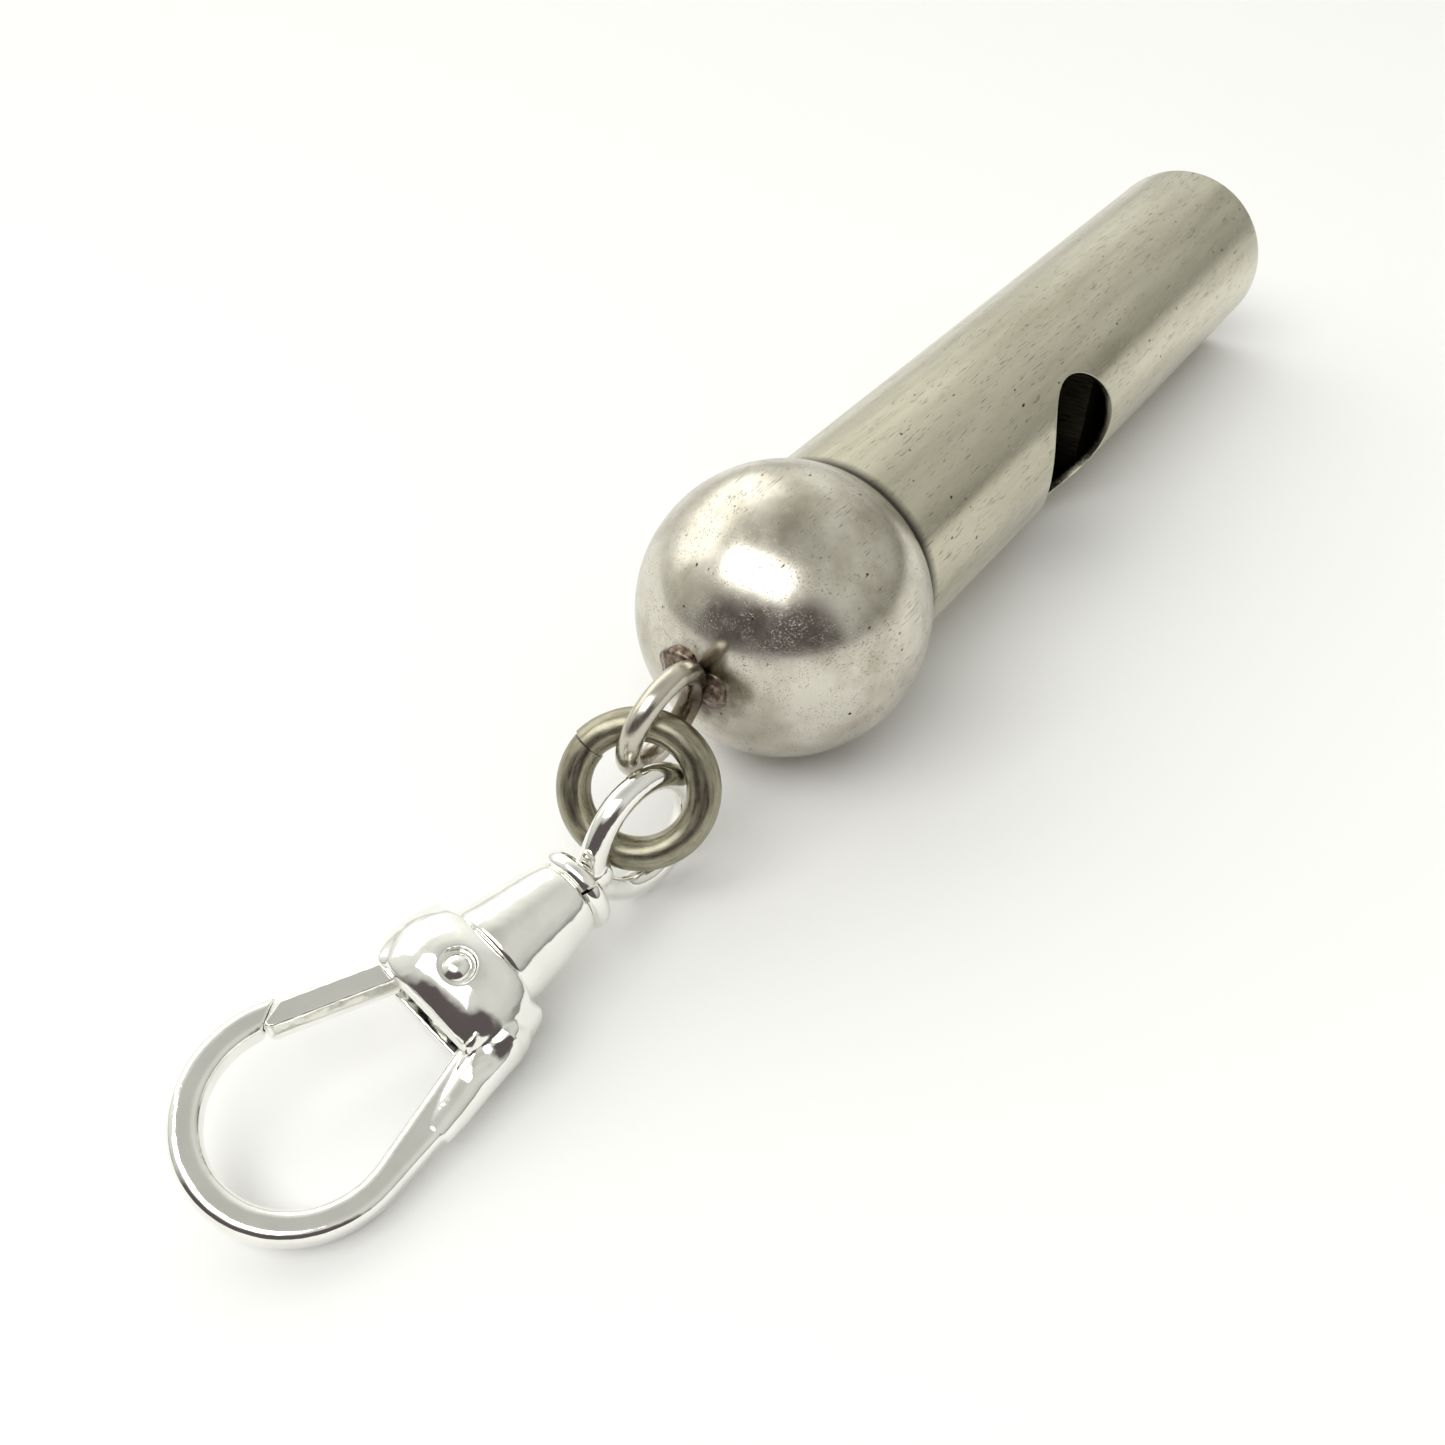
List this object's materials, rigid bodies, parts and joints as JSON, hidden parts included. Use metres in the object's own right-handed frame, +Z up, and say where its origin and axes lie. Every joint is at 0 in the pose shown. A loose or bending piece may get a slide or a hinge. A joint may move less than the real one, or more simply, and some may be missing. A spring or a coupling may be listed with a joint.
{
  "type": "pocket whistle",
  "caption": "Round metal pocket whistle with a side window and a ball end; a wire loop and split ring join it to a swivel clasp with a sprung gate.",
  "frame": {"origin": "on the table under the middle of the object's bounding box, as it lies", "axes": "+Z up from the table, +X along the whistle towards its mouth end, -Y towards the sounding window"},
  "size_m": [0.0816, 0.0134, 0.0135],
  "materials": {
    "silver_whistle": "old polished silver, fine scratches and a warm grey tarnish",
    "solder": "dull browned silver solder",
    "nickel_ring": "dull grey-olive nickel wire",
    "clasp_silver": "bright silver plate, mirror polished",
    "spring_steel": "plain spring strip"
  },
  "bodies": {
    "whistle": {"whistle_tube": "silver_whistle", "windway_block": "silver_whistle", "tube_stopper": "silver_whistle", "ball_front": "silver_whistle", "ball_rear": "silver_whistle", "ball_loop": "silver_whistle", "solder_near": "solder", "solder_far": "solder"},
    "ring": {"jump_ring": "nickel_ring"},
    "eye": {"swivel_eye": "clasp_silver"},
    "clasp": {"barrel": "clasp_silver", "bead": "clasp_silver", "hook_body": "clasp_silver", "gate_pin": "clasp_silver", "gate_spring": "spring_steel"},
    "gate": {"gate": "clasp_silver"}
  },
  "joints": [
    {"name": "ring_swing", "type": "hinge", "parent": "whistle", "child": "ring", "pos_m": [-0.01687, -0.00004, 0.00721], "axis": [-0.4023, 0.8959, 0.1884], "range_deg": [-10, 55]},
    {"name": "eye_swing", "type": "hinge", "parent": "ring", "child": "eye", "pos_m": [-0.01764, -0.00108, 0.00549], "axis": [-0.8003, 0.1148, 0.5885], "range_deg": [0, 30]},
    {"name": "clasp_swivel", "type": "hinge", "parent": "eye", "child": "clasp", "pos_m": [-0.02345, -0.00021, 0.00307], "axis": [0.9869, -0.1457, 0.0697], "continuous": true},
    {"name": "gate_hinge", "type": "hinge", "parent": "clasp", "child": "gate", "pos_m": [-0.02913, 0.00063, 0.00267], "axis": [-0.1147, -0.3287, 0.9374], "range_deg": [0, 28], "stiffness_Nm_per_rad": 0.0003, "springref_deg": -17.19}
  ]
}
